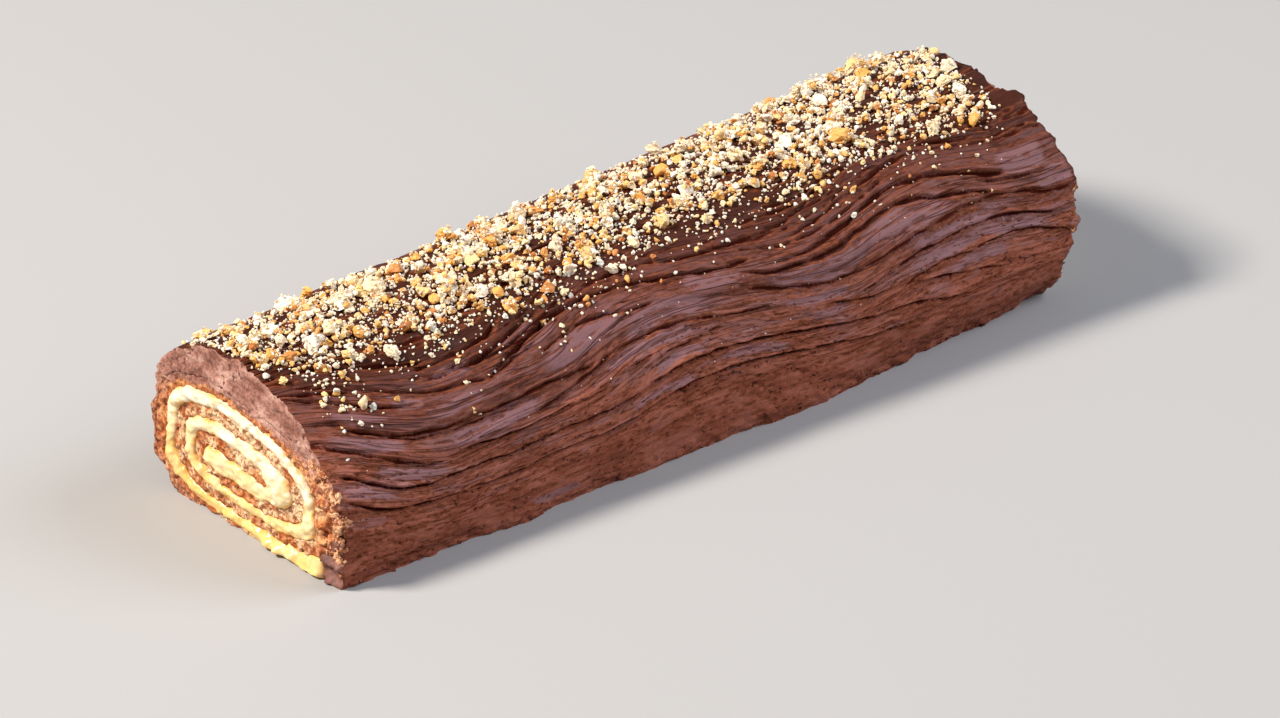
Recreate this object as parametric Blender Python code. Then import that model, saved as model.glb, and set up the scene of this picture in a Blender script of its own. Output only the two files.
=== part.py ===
"""Yule log cake: a sponge rolled up with cream, under a thick coat of combed frosting.

Metres, +Z up. The log lies along X with its front at -Y and stands on z = 0, and the
origin is under the middle of its bounding box. A point of a cross-section is (across,
height): across grows towards the front, and height grows upwards. Each shape is drawn
once for the near end (-X) and once for the far end (+X), which is a little larger.
Both ends are cut flat and show the roll. Nothing is hollow.
"""
import math

import bmesh
import bpy
import numpy as np

LENGTH = 0.290
GAP = 0.0003                     # between two pieces that touch

# Outline of the frosting: near end, far end
BACK_REACH = (-0.0470, -0.0460)
FRONT_REACH = (0.0473, 0.0583)
TOP_HEIGHT = (0.0590, 0.0655)
CORE_ACROSS = (0.0, 0.0060)      # the widest point of each side is level with the core
CORE_HEIGHT = (0.0210, 0.0220)
BACK_SHOULDER = (2.4, 2.4)       # power of the rounding: 2 is an ellipse, more is squarer
FRONT_SHOULDER = (1.65, 2.7)
BACK_TUCK = (0.0050, 0.0040)     # how far a side runs in from its widest point to its foot
FRONT_TUCK = 0.0023
FAR_TUCK = 0.0100                # more tuck at the front foot, from here to the far end
FAR_TUCK_START = 0.035
TUCK_POWER = 1.6
FOOT_BULGES = (                  # place along the log, size, half width
    (-0.077, 0.0022, 0.008),
    (0.035, 0.0010, 0.018),
    (0.118, 0.0022, 0.012),
)

# Combed grooves, by their distance down from the ridge of the log
GROOVE_RISE = 0.0006             # of the ribs above the plain outline
GROOVE_DEPTH_TOP = 0.0014
GROOVE_DEPTH_SIDE = 0.0008
GROOVE_HALF_WIDTH = 0.0013
FIRST_GROOVE = 0.0030
GROOVE_STEP_TOP = 0.0047
GROOVE_STEP_GROWTH = 0.00042     # each step is this much longer than the last
LAST_GROOVE = 0.072
COMB_LEVELS = (0.0, 0.018, 0.048, 0.070, 0.088)
COMB_SWINGS = (                  # place high, place low, length, drop at each comb level
    (-0.116, -0.131, 0.058, (0.0, 0.0160, 0.0200, 0.0140, 0.0)),
    (-0.060, -0.028, 0.040, (0.0, -0.0090, -0.0065, -0.0030, 0.0)),
    (0.000, 0.028, 0.075, (0.0, 0.0100, 0.0110, 0.0110, 0.0)),
    (0.062, 0.074, 0.034, (0.0, -0.0055, -0.0040, 0.0, 0.0)),
    (0.103, 0.128, 0.038, (0.0, 0.0080, 0.0060, 0.0040, 0.0)),
)
BACK_COMB_SHIFT = 0.042          # the back's swings run the other way, and lie further along
STATIONS = 47                    # along the log
FOOT_POINTS = 5                  # on the plain strip below the grooves
OUTLINE_SAMPLES = 160            # of one side of the outline, before it is divided

# Roll of sponge and cream: a spiral, with its radius given by turns in from the outside
START_ANGLE = math.radians(-35)
STEPS_PER_TURN = 40
SPONGE_START = 0.145
SPONGE_END = 2.93
INNERMOST_TURN = 3.2
THIN_END = 0.24                  # share of a turn that the sponge takes at its outer end
FULL_SHARE = 0.50                # and from TAPER_TURNS on
TAPER_TURNS = 0.22
BACK_SIDE = (-0.0493, 0.0099)    # where the outermost turn crosses, and what a turn adds
TOP_SIDE = (0.0520, -0.0093)
SIDE_TURNS = (0.0, 0.2, 0.4, 0.9, 1.4, 1.9, 2.4, 2.9, 3.4)
FRONT_SIDE = (0.0450, 0.0450, 0.0448, 0.0441, 0.0335, 0.0280, 0.0220, 0.0090, 0.0010)
BOTTOM_SIDE = (0.0, 0.0, 0.0012, 0.0030, 0.0064, 0.0101, 0.0137, 0.0174, 0.0210)
ROLL_CORE = (-0.0015, -0.0028)   # across at the outermost turn, and what a turn adds
ROLL_CORE_HEIGHT = 0.0203
ROLL_SQUARENESS = 3.1
ROLL_FRONT_TURNS = (0.8, 1.5)
ROLL_FRONT_SQUARENESS = (1.9, 2.3)
CREAM_START = 0.01
CREAM_REACH = 0.0365             # where the cream that lies underneath ends
FRONT_FOOT_START = 0.0372        # inner edges of the frosting's two feet
BACK_FOOT_START = -0.0250
BACK_FOOT_TURN = 0.23
FRONT_FOOT_TURN = 1.00
FAR_ROLL_SHIFT = 0.004
FAR_ROLL_WIDTH = 1.06
FAR_ROLL_HEIGHT = 1.13


def blend(pair, share):
    """Value between the near end's and the far end's."""
    return pair[0] + (pair[1] - pair[0]) * share


def smooth_step(start, end, value):
    """0 before start, 1 after end, and an even curve between them."""
    share = np.clip((value - start) / (end - start), 0.0, 1.0)
    return share * share * (3.0 - 2.0 * share)


def squared_round(angle, power):
    """Radius at an angle of a unit circle squared up by a power."""
    total = abs(math.cos(angle)) ** power + abs(math.sin(angle)) ** power
    return total ** (-1.0 / power)


def shifted(points, distance):
    """A line moved sideways, outwards from a spiral that winds clockwise."""
    along = np.gradient(points, axis=0)
    along /= np.linalg.norm(along, axis=1)[:, None]
    outward = np.column_stack((-along[:, 1], along[:, 0]))
    return points + outward * distance


# ---------------------------------------------------------------- frosting outline

def foot_bulge(x):
    """How far the front foot stands out at a place along the log."""
    return sum(size * math.exp(-((x - place) / half) ** 2) for place, size, half in FOOT_BULGES)


def side_profile(x, side):
    """One side of the section at x, from the ridge to the foot: side is 1 for the front."""
    share = x / LENGTH + 0.5
    core = np.array((blend(CORE_ACROSS, share), blend(CORE_HEIGHT, share)))
    rise = blend(TOP_HEIGHT, share) - core[1]
    if side > 0:
        reach = blend(FRONT_REACH, share) - core[0]
        power = blend(FRONT_SHOULDER, share)
        tuck = FRONT_TUCK + FAR_TUCK * smooth_step(FAR_TUCK_START, LENGTH / 2, x) - foot_bulge(x)
    else:
        reach = core[0] - blend(BACK_REACH, share)
        power = blend(BACK_SHOULDER, share)
        tuck = blend(BACK_TUCK, share)
    points = []
    for step in range(OUTLINE_SAMPLES):
        angle = math.pi / 2 * (1.0 - step / (OUTLINE_SAMPLES - 1))
        radius = squared_round(angle, power)
        across = radius * math.cos(angle) * reach
        points.append((core[0] + side * across, core[1] + radius * math.sin(angle) * rise))
    for step in range(1, OUTLINE_SAMPLES):
        down = step / (OUTLINE_SAMPLES - 1)
        points.append((core[0] + side * (reach - tuck * down ** TUCK_POWER), core[1] * (1.0 - down)))
    return np.array(points)


def groove_places():
    """Distances of the grooves from the ridge, growing wider apart down the side."""
    places = []
    place = FIRST_GROOVE
    gap = GROOVE_STEP_TOP
    while place < LAST_GROOVE:
        places.append(place)
        place += gap
        gap += GROOVE_STEP_GROWTH
    return places


def comb_drop(x, place, side):
    """How far the comb has swung down the side at x, for a groove that starts at a place."""
    if side < 0:
        x = BACK_COMB_SHIFT - x
    total = 0.0
    for high, low, length, drops in COMB_SWINGS:
        middle = high + (low - high) * min(place / LAST_GROOVE, 1.0)
        drop = np.interp(place, COMB_LEVELS, drops)
        total += drop * (smooth_step(middle - length / 2, middle + length / 2, x) - 0.5)
    return total


def comb_lines():
    """Lines that run along one side: distance from the ridge, and height over the outline."""
    lines = []
    for place in groove_places():
        depth = np.interp(place, (0.0, LAST_GROOVE), (GROOVE_DEPTH_TOP, GROOVE_DEPTH_SIDE))
        lines.append((place - GROOVE_HALF_WIDTH, GROOVE_RISE))
        lines.append((place, GROOVE_RISE - depth))
        lines.append((place + GROOVE_HALF_WIDTH, GROOVE_RISE))
    return lines


def combed_side(x, side):
    """Points of one side of the frosting at x, from near the ridge down to the foot."""
    profile = side_profile(x, side)
    steps = np.linalg.norm(np.diff(profile, axis=0), axis=1)
    distance = np.concatenate(((0.0,), np.cumsum(steps)))
    outward = side * (shifted(profile, 1.0) - profile)
    lines = [(place + comb_drop(x, place, side), rise) for place, rise in comb_lines()]
    foot_start = lines[-1][0] + GROOVE_STEP_TOP
    lines += [(place, 0.0) for place in np.linspace(foot_start, distance[-1], FOOT_POINTS)]
    points = []
    for place, rise in lines:
        point = [np.interp(place, distance, column) for column in profile.T]
        normal = [np.interp(place, distance, column) for column in outward.T]
        points.append((point[0] + normal[0] * rise, point[1] + normal[1] * rise))
    return points


def frosting_outline(x):
    """Points of the frosting's surface at x, from the back foot over the ridge to the front."""
    return combed_side(x, -1)[::-1] + combed_side(x, 1)


# ---------------------------------------------------------------- spiral

def spiral_point(turn, level):
    """Point in the spiral's direction at a turn, as far in as the level says."""
    angle = START_ANGLE - 2.0 * math.pi * turn
    cos, sin = math.cos(angle), math.sin(angle)
    core = ROLL_CORE[0] + ROLL_CORE[1] * level
    power = ROLL_SQUARENESS
    if cos > 0.0:
        reach = np.interp(level, SIDE_TURNS, FRONT_SIDE) - core
        if sin > 0.0:
            power = np.interp(level, ROLL_FRONT_TURNS, ROLL_FRONT_SQUARENESS)
    else:
        reach = core - BACK_SIDE[0] - BACK_SIDE[1] * level
    if sin > 0.0:
        rise = TOP_SIDE[0] + TOP_SIDE[1] * level - ROLL_CORE_HEIGHT
    else:
        rise = ROLL_CORE_HEIGHT - np.interp(level, SIDE_TURNS, BOTTOM_SIDE)
    radius = squared_round(angle, power)
    return core + radius * cos * reach, ROLL_CORE_HEIGHT + radius * sin * rise


def turns_between(start, end):
    """Evenly stepped turns of the spiral from start to end."""
    count = round(abs(end - start) * STEPS_PER_TURN) + 1
    return np.linspace(start, end, count)


def sponge_outer_edge(start, end):
    """Outer edge of the sponge between two turns."""
    return np.array([spiral_point(turn, turn) for turn in turns_between(start, end)])


def sponge_inner_edge(start, end):
    """Inner edge of the sponge: it is thin at its outer end and soon has its full share."""
    points = []
    for turn in turns_between(start, end):
        grown = min((turn - SPONGE_START) / TAPER_TURNS, 1.0)
        share = blend((THIN_END, FULL_SHARE), grown)
        points.append(spiral_point(turn, min(turn + share, INNERMOST_TURN)))
    return np.array(points)


def sponge_section():
    """The rolled sheet of sponge: its outer edge, and back along its inner edge."""
    outer = sponge_outer_edge(SPONGE_START, SPONGE_END)
    inner = sponge_inner_edge(SPONGE_START, SPONGE_END)
    return np.concatenate((outer, inner[::-1]))


def cream_section():
    """The cream between the turns of sponge, filling the middle and lying out underneath."""
    outer = shifted(sponge_inner_edge(SPONGE_START, SPONGE_END), -GAP)
    inner = shifted(sponge_outer_edge(CREAM_START + 1.0, SPONGE_END), GAP)[::-1]
    onward = outer[-1] - outer[-2]
    onward *= GAP / np.linalg.norm(onward)
    tip = np.array((outer[-1] + onward, inner[0] + onward))
    sponge_end = spiral_point(SPONGE_START, SPONGE_START)[0] + GAP
    floor = np.array(((CREAM_REACH, 0.0), (sponge_end, 0.0), (sponge_end, outer[0, 1])))
    return np.concatenate((outer, tip, inner, floor))


def frosting_lining():
    """Inner face of the frosting, from the front foot over the roll to the back foot."""
    over = shifted(sponge_outer_edge(BACK_FOOT_TURN, FRONT_FOOT_TURN), GAP)[::-1]
    front_foot = np.array(((FRONT_FOOT_START, 0.0), (FRONT_FOOT_START, over[0, 1] - GAP)))
    back_foot = np.array(((BACK_FOOT_START, 0.0),))
    return np.concatenate((front_foot, over, back_foot))


# ---------------------------------------------------------------- solids

def roll_at(section, x):
    """A section of the roll as it is at x, as points in space."""
    share = x / LENGTH + 0.5
    shift = FAR_ROLL_SHIFT * share
    width = blend((1.0, FAR_ROLL_WIDTH), share)
    height = blend((1.0, FAR_ROLL_HEIGHT), share)
    return [(x, -(shift + width * across), height * up) for across, up in section]


def new_object(name, mesh_data, colour, roughness):
    """Link a finished bmesh as an object with a material of its own."""
    bmesh.ops.recalc_face_normals(mesh_data, faces=mesh_data.faces)
    mesh = bpy.data.meshes.new(name)
    mesh_data.to_mesh(mesh)
    mesh_data.free()
    material = bpy.data.materials.new(name + "_material")
    material.use_nodes = True
    shader = material.node_tree.nodes["Principled BSDF"]
    shader.inputs["Base Color"].default_value = (*colour, 1.0)
    shader.inputs["Roughness"].default_value = roughness
    shader.inputs["Metallic"].default_value = 0.0
    mesh.materials.append(material)
    item = bpy.data.objects.new(name, mesh)
    bpy.context.scene.collection.objects.link(item)
    return item


def strip(mesh_data, one, other):
    """Quads between two open rows of vertices."""
    for index in range(len(one) - 1):
        mesh_data.faces.new((one[index], one[index + 1], other[index + 1], other[index]))


def build_roll_layer(name, section, colour, roughness):
    """One layer of the roll: its section at both ends, bridged."""
    mesh_data = bmesh.new()
    ends = []
    for x in (-LENGTH / 2, LENGTH / 2):
        ends.append([mesh_data.verts.new(point) for point in roll_at(section, x)])
    near, far = ends
    strip(mesh_data, near + near[:1], far + far[:1])
    mesh_data.faces.new(near)
    mesh_data.faces.new(far[::-1])
    return new_object(name, mesh_data, colour, roughness)


def build_sponge():
    """Chocolate sponge, one long sheet rolled up."""
    return build_roll_layer("sponge", sponge_section(), (0.42, 0.19, 0.08), 0.9)


def build_cream():
    """Cream filling, rolled up with the sponge."""
    return build_roll_layer("cream_filling", cream_section(), (0.87, 0.76, 0.48), 0.45)


def build_frosting():
    """Chocolate frosting: a combed coat over the roll, open where the log is cut."""
    mesh_data = bmesh.new()
    rows = []
    for x in np.linspace(-LENGTH / 2, LENGTH / 2, STATIONS):
        points = [(x, -across, up) for across, up in frosting_outline(x)]
        rows.append([mesh_data.verts.new(point) for point in points])
    lining = frosting_lining()
    near = [mesh_data.verts.new(point) for point in roll_at(lining, -LENGTH / 2)]
    far = [mesh_data.verts.new(point) for point in roll_at(lining, LENGTH / 2)]
    for one, other in zip(rows, rows[1:]):
        strip(mesh_data, one, other)
    strip(mesh_data, near, far)
    mesh_data.faces.new(rows[0] + near)
    mesh_data.faces.new((rows[-1] + far)[::-1])
    mesh_data.faces.new([row[-1] for row in rows] + [far[0], near[0]])
    mesh_data.faces.new([row[0] for row in rows] + [far[-1], near[-1]])
    return new_object("frosting", mesh_data, (0.12, 0.045, 0.025), 0.5)


def centre_on_origin(items):
    """Move all pieces so that their common box stands on the origin."""
    corners = np.array([vertex.co for item in items for vertex in item.data.vertices])
    middle = (corners.min(axis=0) + corners.max(axis=0)) / 2
    for item in items:
        item.location = (-middle[0], -middle[1], -corners[:, 2].min())


def main():
    for old in list(bpy.data.objects):
        bpy.data.objects.remove(old, do_unlink=True)
    centre_on_origin([build_sponge(), build_cream(), build_frosting()])


main()
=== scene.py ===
import itertools
import math
from functools import partialmethod

import bmesh
import bpy
import numpy as np
from mathutils import Matrix, Vector, geometry, kdtree


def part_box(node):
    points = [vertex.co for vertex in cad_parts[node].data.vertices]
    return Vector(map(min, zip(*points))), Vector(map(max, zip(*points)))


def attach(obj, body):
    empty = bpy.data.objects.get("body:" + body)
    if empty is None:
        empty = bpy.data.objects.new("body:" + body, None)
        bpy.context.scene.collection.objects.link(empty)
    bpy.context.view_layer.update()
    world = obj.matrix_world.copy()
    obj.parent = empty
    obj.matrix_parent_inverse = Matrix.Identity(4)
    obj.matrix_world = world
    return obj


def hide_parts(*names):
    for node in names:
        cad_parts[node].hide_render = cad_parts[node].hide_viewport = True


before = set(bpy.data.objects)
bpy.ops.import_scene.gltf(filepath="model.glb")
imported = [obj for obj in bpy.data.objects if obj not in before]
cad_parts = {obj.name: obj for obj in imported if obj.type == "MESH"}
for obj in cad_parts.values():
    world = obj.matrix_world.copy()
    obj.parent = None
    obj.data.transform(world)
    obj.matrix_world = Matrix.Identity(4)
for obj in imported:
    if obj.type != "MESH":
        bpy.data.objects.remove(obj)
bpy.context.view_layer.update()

MM = 0.001
LOW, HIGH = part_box("frosting")
LENGTH = round((HIGH.x - LOW.x) / MM, 3)
END = LENGTH / 2
HASH_FACTOR = np.uint64(0x9E3779B97F4A7C15)

# Outline of the frosting: near end, far end
BACK_REACH = (-47, -46)
FRONT_REACH = (47.3, 58.3)
TOP_HEIGHT = (59, 65.5)
CORE_ACROSS = (0, 6)
CORE_HEIGHT = (21, 22)
BACK_SHOULDER = (2.4, 2.4)
FRONT_SHOULDER = (1.65, 2.7)
BACK_TUCK = (5, 4)
NEAR_BACK_TUCK = 7.5             # more tuck at the back foot towards the near end
NEAR_BACK_TUCK_START = -105
FRONT_TUCK = 2.3
FAR_TUCK = 10
FAR_TUCK_START = 35
FAR_CORNER = 1.6
FAR_WEAR = 3.4                   # how far the lower front rim is worn back at the far end
TUCK_POWER = 1.6
BACK_TUCK_POWER = 2.6
# place along the log, size, half width
FOOT_BULGES = ((-77, 2.2, 8), (35, 1, 18), (118, 2.2, 12))
OUTLINE_SAMPLES = 240            # of one quarter of the outline, before it is divided

# The comb's wavy path: a groove is known by its distance from the ridge before it swings
COMB_LEVELS = (0, 18, 48, 70, 88)
COMB_SWINGS = (                  # place high, place low, length, drop at each comb level
    (-116, -131, 58, (0, 16, 20, 14, 0)),
    (-60, -28, 40, (0, -9, -6.5, -3, 0)),
    (0, 28, 75, (0, 10, 11, 11, 0)),
    (62, 74, 34, (0, -5.5, -4, 0, 0)),
    (103, 128, 38, (0, 8, 6, 4, 0)),
)
BACK_COMB_SHIFT = 42
LAST_COMBED = 76                 # below this line the coat runs evenly to the foot
FOOT_LINE = 88
SWING_LINE = 72                  # where a swing has reached its low place
STATIONS = 240                   # along the log
FRONT_LINES = 248                # from the ridge to the foot
BACK_LINES = 142
SHELF_SHARE = 0.4                # of a groove's depth: the coat is lower just below a groove
SHELF_REACH = 2.6                # and comes back up over about this much
DASH_SHARE = 0.85                # shallow grooves are broken into dashes, deep ones a little
DASH_DEPTH = 0.95
GROOVE_HALO = 0.27               # how marked the torn band below a deep groove is
THINNEST_COAT = 0.55
BACK_DEEPEST = 1.4               # the coat is thin there, and no groove goes through it

# Main grooves of the front: depth, half width, then a place and a line in turn, to the blunt end
FRONT_GROOVES = (
    (1.2, 0.5, -104, 33, -118, 34.2, -135, 31.5, -147, 29.5),
    (1.1, 0.5, -140, 26, -118, 28, -104, 29.5, -92, 31, -80, 33),
    (1.8, 0.6, -64, 17, -75, 20.5, -85, 22, -101, 22),
    (2.3, 0.62, -50, 23.5, -59, 22, -66, 23, -76, 25.7, -84, 26.8),
    (1.4, 0.4, -38, 25.5, -50, 25, -60, 24.8, -68, 26.2),
    (2.3, 0.58, -30, 30, -40, 28, -50, 26.6, -60, 26.8, -70, 29, -80, 33.3),
    (1.1, 0.35, -56, 28.4, -66, 29.8, -77, 33),
    (1.7, 0.5, -44, 27.2, -30, 30, -10, 32.5, 0, 33.7, 10, 34.3, 17, 33.7, 23, 32.3),
    (0.9, 0.45, -64, 32.5, -50, 32.8, -40, 34, -33, 36),
    (1.3, 0.5, -44, 33.6, -35, 35.5, -28, 38, -17, 39.8),
    (1.7, 0.5, -137, 41, -130, 43, -118, 43.6, -108, 42.4, -100, 41.5, -90, 42, -75, 42.4, -62, 42,
     -53, 42.6, -45, 45),
    (1, 0.35, -128, 44.4, -115, 44.6, -104, 43.1, -95, 43.2, -80, 43.9, -66, 43.6),
    (1.2, 0.5, -72, 49.8, -65, 48.5, -52, 46, -45, 45.4, -35, 46, -20, 47, -5, 47.8, 6, 49.3, 14, 49.2,
     22, 48),
    (1.6, 0.5, -8, 27.2, 2, 27.9, 10, 27.5, 24, 26, 34, 25, 44, 23.6, 54, 20.5),
    (1.3, 0.45, 38, 29.2, 50, 27.4, 60, 26.3, 74, 26, 86, 25, 97, 24),
    (0.9, 0.4, 14, 30.5, 24, 29.2, 34, 31.3, 50, 30, 66, 29.5, 84, 28.6),
    (2, 0.58, 16, 36.2, 22, 37.8, 34, 38.5, 46, 37.6, 60, 36.3, 76, 36, 86, 37, 94, 39, 104, 41, 114, 42),
    (1.9, 0.58, 30, 36, 42, 34.8, 54, 33.2, 66, 32, 80, 31.6, 90, 31.9, 100, 33.8, 108, 35.2, 122, 36.4),
    (1.2, 0.55, 14, 41.4, 22, 42.6, 34, 44.6, 48, 45.7, 64, 46, 76, 46.8, 86, 46.4, 96, 45.3, 108, 44.6,
     118, 43, 128, 43.6, 144, 46.5),
    (1.1, 0.45, 110, 38.6, 122, 38.9, 137, 38.2),
    (0.9, 0.4, 122, 41.6, 137, 44.2),
    (1.3, 0.5, 96, 21, 108, 22.2, 120, 22),
    (1.4, 0.5, 54, 52.6, 66, 52.3, 80, 51.8, 96, 51, 108, 50.9, 118, 49.6, 124, 49.8, 132, 51.4,
     140, 52.2),
    (1.3, 0.5, 60, 61, 72, 59.5, 80, 57.8, 90, 57.4, 106, 57.6, 118, 56, 126, 55.8, 136, 58, 146, 61),
    (1.2, 0.45, 76, 59.6, 86, 61.5, 94, 62.8, 102, 64.5, 114, 67),
    (1.1, 0.45, 42, 52.2, 52, 54, 60, 56, 70, 57.3),
    (1.2, 0.55, 58, 60.8, 62, 60.6, 69, 59.8),
    (1.9, 0.58, -146, 57, -138, 58.6, -130, 60.8, -120, 62, -112, 60.8, -104, 59.2, -96, 58.8, -86, 60.4,
     -75, 61, -62, 59.8, -52, 60.9, -40, 63.2, -30, 63, -18, 62.3, 0, 61.6, 16, 61, 44, 61.2, 54, 62.6,
     64, 64, 76, 65.6, 84, 68, 94, 70.6, 104, 73),
    (2, 0.62, -146, 65.6, -138, 67.4, -128, 69.6, -118, 68.9, -106, 67.7, -98, 68, -88, 69.6, -76, 70.4,
     -64, 69.2, -54, 69.8, -42, 71, -34, 71, -26, 70.1, -10, 70.3, 6, 70.2, 22, 69.7, 36, 69.3, 48, 69.8,
     58, 71.3, 68, 73.6, 80, 76.5),
    (1, 0.75, -106, 53, -120, 52.2, -130, 51, -138, 50, -147, 47.6),
    (0.8, 0.4, -136, 54, -124, 55, -112, 53.6, -104, 52),
    (1.6, 0.52, -104, 51.6, -95, 50.6, -86, 52, -76, 53, -66, 52.8, -56, 51.6),
    (1.1, 0.4, -57, 52.4, -50, 52.9, -44, 54.2, -39, 55.6),
    (1.1, 0.45, -39, 52.2, -31, 53, -24, 53.7),
    (0.9, 0.45, -34, 57, -26, 56, -18, 55.4, -10, 55.6, -4, 54.6, 4, 52.4),
)

# Smooth patches of the front, less rough and with a painted lavender reflection in their colour: place,
# line, half length, half width
SHEEN_PATCHES = (
    (-63, 24.6, 8, 1.1), (-58, 28.5, 9, 1.1), (-91, 27, 7, 2), (-109, 32.6, 5, 1.8),
    (-94, 37.4, 10, 2), (-126, 38.4, 8, 1.7), (-84, 46.2, 17, 2.6), (-128, 47.2, 12, 2.2),
    (-116, 56.4, 12, 2.2), (-133, 62.8, 9, 1.8), (-44, 37.6, 16, 3.6), (-14, 43, 16, 3.4),
    (-32, 48.6, 8, 1.8), (-16, 50.6, 10, 2), (-14, 58.4, 10, 1.6), (14, 64.8, 13, 2.2),
    (-22, 67, 12, 1.4), (6, 37, 10, 2.6), (46, 41.4, 20, 2.8), (44, 55.6, 7, 1.8), (40, 48.4, 12, 1.6),
    (80, 41, 18, 3.2), (96, 48.2, 20, 2.2), (92, 54.4, 14, 2.2), (118, 53, 14, 2.4), (104, 61, 12, 2),
    (130, 34, 9, 3.4), (138, 41, 6, 2.4), (-64, 82.6, 10, 1.2),
)

# Roll of sponge and cream: a spiral, with its radius given by turns in from the outside
START_ANGLE = math.radians(-35)
STEPS_PER_TURN = 360
SPONGE_START = 0.145
SPONGE_END = 2.93
INNERMOST_TURN = 3.2
THIN_END = 0.24
FULL_SHARE = 0.5
SHARE_WANDER = 0.05              # how far the two layers' shares of a turn wander
SHARE_CHANGES = (                # the sponge's share of a turn against its usual one, by turn
    (0.15, 0.3, 0.4, 0.52, 0.65, 0.78, 0.9, 0.98, 1.08, 1.2, 1.4, 1.55, 1.75, 1.92, 2.1, 2.4),
    (0, -0.06, 0.02, -0.02, 0.06, 0.13, 0.12, -0.08, -0.13, -0.05, 0, -0.12, -0.12, 0, 0.02, 0),
)
TAPER_TURNS = 0.22
BACK_SIDE = (-49.3, 9.9)
TOP_SIDE = (52, -9.3)
SIDE_TURNS = (0, 0.2, 0.4, 0.9, 1.4, 1.9, 2.4, 2.9, 3.4)
FRONT_SIDE = (45, 45, 44.8, 44.1, 33.5, 28, 22, 9, 1)
BOTTOM_SIDE = (0, 0, 1.2, 3, 6.4, 10.1, 13.7, 17.4, 21)
ROLL_CORE = (-1.5, -2.8)
ROLL_CORE_HEIGHT = 20.3
ROLL_SQUARENESS = 3.1
ROLL_FRONT_TURNS = (0.8, 1.5)
ROLL_FRONT_SQUARENESS = (1.9, 2.3)
CREAM_START = 0.01
CREAM_REACH = 37
FRONT_FOOT_START = 37.2
BACK_FOOT_START = -25
BACK_FOOT_TURN = 0.23
FRONT_FOOT_TURN = 1
ROLL_AT_END = {-1: (0, 1, 1), 1: (4, 1.06, 1.13)}  # shift, and scales across and up
LAYER_GAP = 0.06

# Chopped nuts: how many, how large, and how thick they lie at each distance from the ridge
NUT_KINDS = (                    # name, two colours, roughness
    ("nuts_pale", (0.96, 0.91, 0.79), (0.92, 0.74, 0.46), 0.6),
    ("nuts_golden", (0.93, 0.67, 0.31), (0.86, 0.42, 0.09), 0.55),
    ("nuts_toasted", (0.8, 0.38, 0.1), (0.52, 0.17, 0.03), 0.55),
)
NUT_SEEDS = (21, 22)             # of the places and of the shapes
CHUNKS = 370
CHUNK_SIZES = (3, 6.4)
CHUNK_SPREAD = ((-34, 0), (-27, 0.3), (-22, 1), (11, 1), (17, 0.45), (24, 0.1), (30, 0))
CHIPS = 2800
CHIP_SIZES = (1.2, 3.2)
CHIP_SPREAD = ((-46, 0), (-32, 0.08), (-24, 0.9), (-18, 1), (11, 1), (18, 0.7),
               (24, 0.34), (29, 0.08), (38, 0.03), (50, 0.008), (56, 0))
DUST = 7600
DUST_SIZES = (0.6, 1.6)
DUST_SPREAD = ((-56, 0), (-36, 0.08), (-26, 0.7), (-18, 1), (12, 1), (20, 0.6),
               (26, 0.25), (32, 0.07), (42, 0.03), (60, 0.012), (72, 0))
PLACES_AT_ONCE = 4000            # drawn before the thin parts of the spread are dropped
PILE_CELL = 0.5                  # of the height map of what already lies there
PILE_WIDE = 90
LUMP_THICKNESS = 0.6             # of its size
LUMP_SETTLE = 0.85               # a piece sinks in a little between those under it
SINGLE_NUTS = (                  # place along the log, distance from the ridge, size, number of kind
    (83, 11, 10, 1), (120, -24, 9.5, 1), (117, -18.5, 7, 1), (139, -3, 6, 0), (131, 10.5, 6.5, 0),
    (67, 2.5, 7.5, 0), (9, -24, 7.5, 1), (6, 15, 7, 1), (-43, -8.5, 9, 1), (-45, 21, 6, 2),
    (-48, 24, 4.6, 2), (-87, -10, 8, 0), (-109, -25, 8, 0), (-122, 5, 8.5, 0), (-122, 30.5, 5, 0),
    (-104, 20, 6.5, 0), (-133, 7, 6, 2), (-126, -12, 7.5, 0),
)

# Crumbs
CRUMB_SEED = 31
CUT_CRUMBS = 80                  # at each cut face
FOOT_CRUMBS = 420
# height, size
RIM_CRUMBS = ((36, 3.2), (32, 4.6), (27, 4), (21, 4.6), (15, 4.2), (10.5, 3.6), (5, 2.4))

# Cut faces: how far in from an end its roughness reaches, and the spacing of the points
CUT_REACH = 9
FILL_SEED = 5
FROSTING_CUT_GRAIN = 0.75
SPONGE_CUT_GRAIN = 0.42
CREAM_CUT_GRAIN = 0.5

# Floor, lights and camera, in metres
FLOOR_REACH = 6.0                # to each side
FLOOR_COLOUR = (0.41, 0.4, 0.395)
LIGHTS = (                       # name, place, size, power, colour
    ("key", (-1.76, 0.92, 2.09), 0.66, 131, (1, 0.94, 0.86)),
    ("front", (1.44, -1.24, 1.6), 1.6, 48, (0.84, 0.9, 1)),
)
LIGHTS_AIM = (0, 0, 0.03)
WORLD_COLOUR = (0.9, 0.93, 1, 1)
WORLD_STRENGTH = 0.22
CAMERA_AZIMUTH = math.radians(-40.037)
CAMERA_ELEVATION = math.radians(28.471)
CAMERA_ROLL = math.radians(-0.806)
CAMERA_DISTANCE = 2.529
CAMERA_AIM = (0.016542, 0.006366)  # X, and Y from where the sections have their middle
CAMERA_LENS = 225                # in millimetres, as is the sensor
CAMERA_SENSOR = 36


# ---- numbers

def between(pair, share):
    """Between the near end's value and the far end's."""
    return pair[0] + (pair[1] - pair[0]) * share


def ease(start, end, value):
    """0 before start, 1 after end, and an even curve between them."""
    share = np.clip((value - start) / (end - start), 0, 1)
    return share * share * (3 - 2 * share)


def bump(value, middle, half):
    """1 at the middle, falling to 0 on both sides like a bell."""
    return np.exp(-((value - middle) / half) ** 2)


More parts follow.
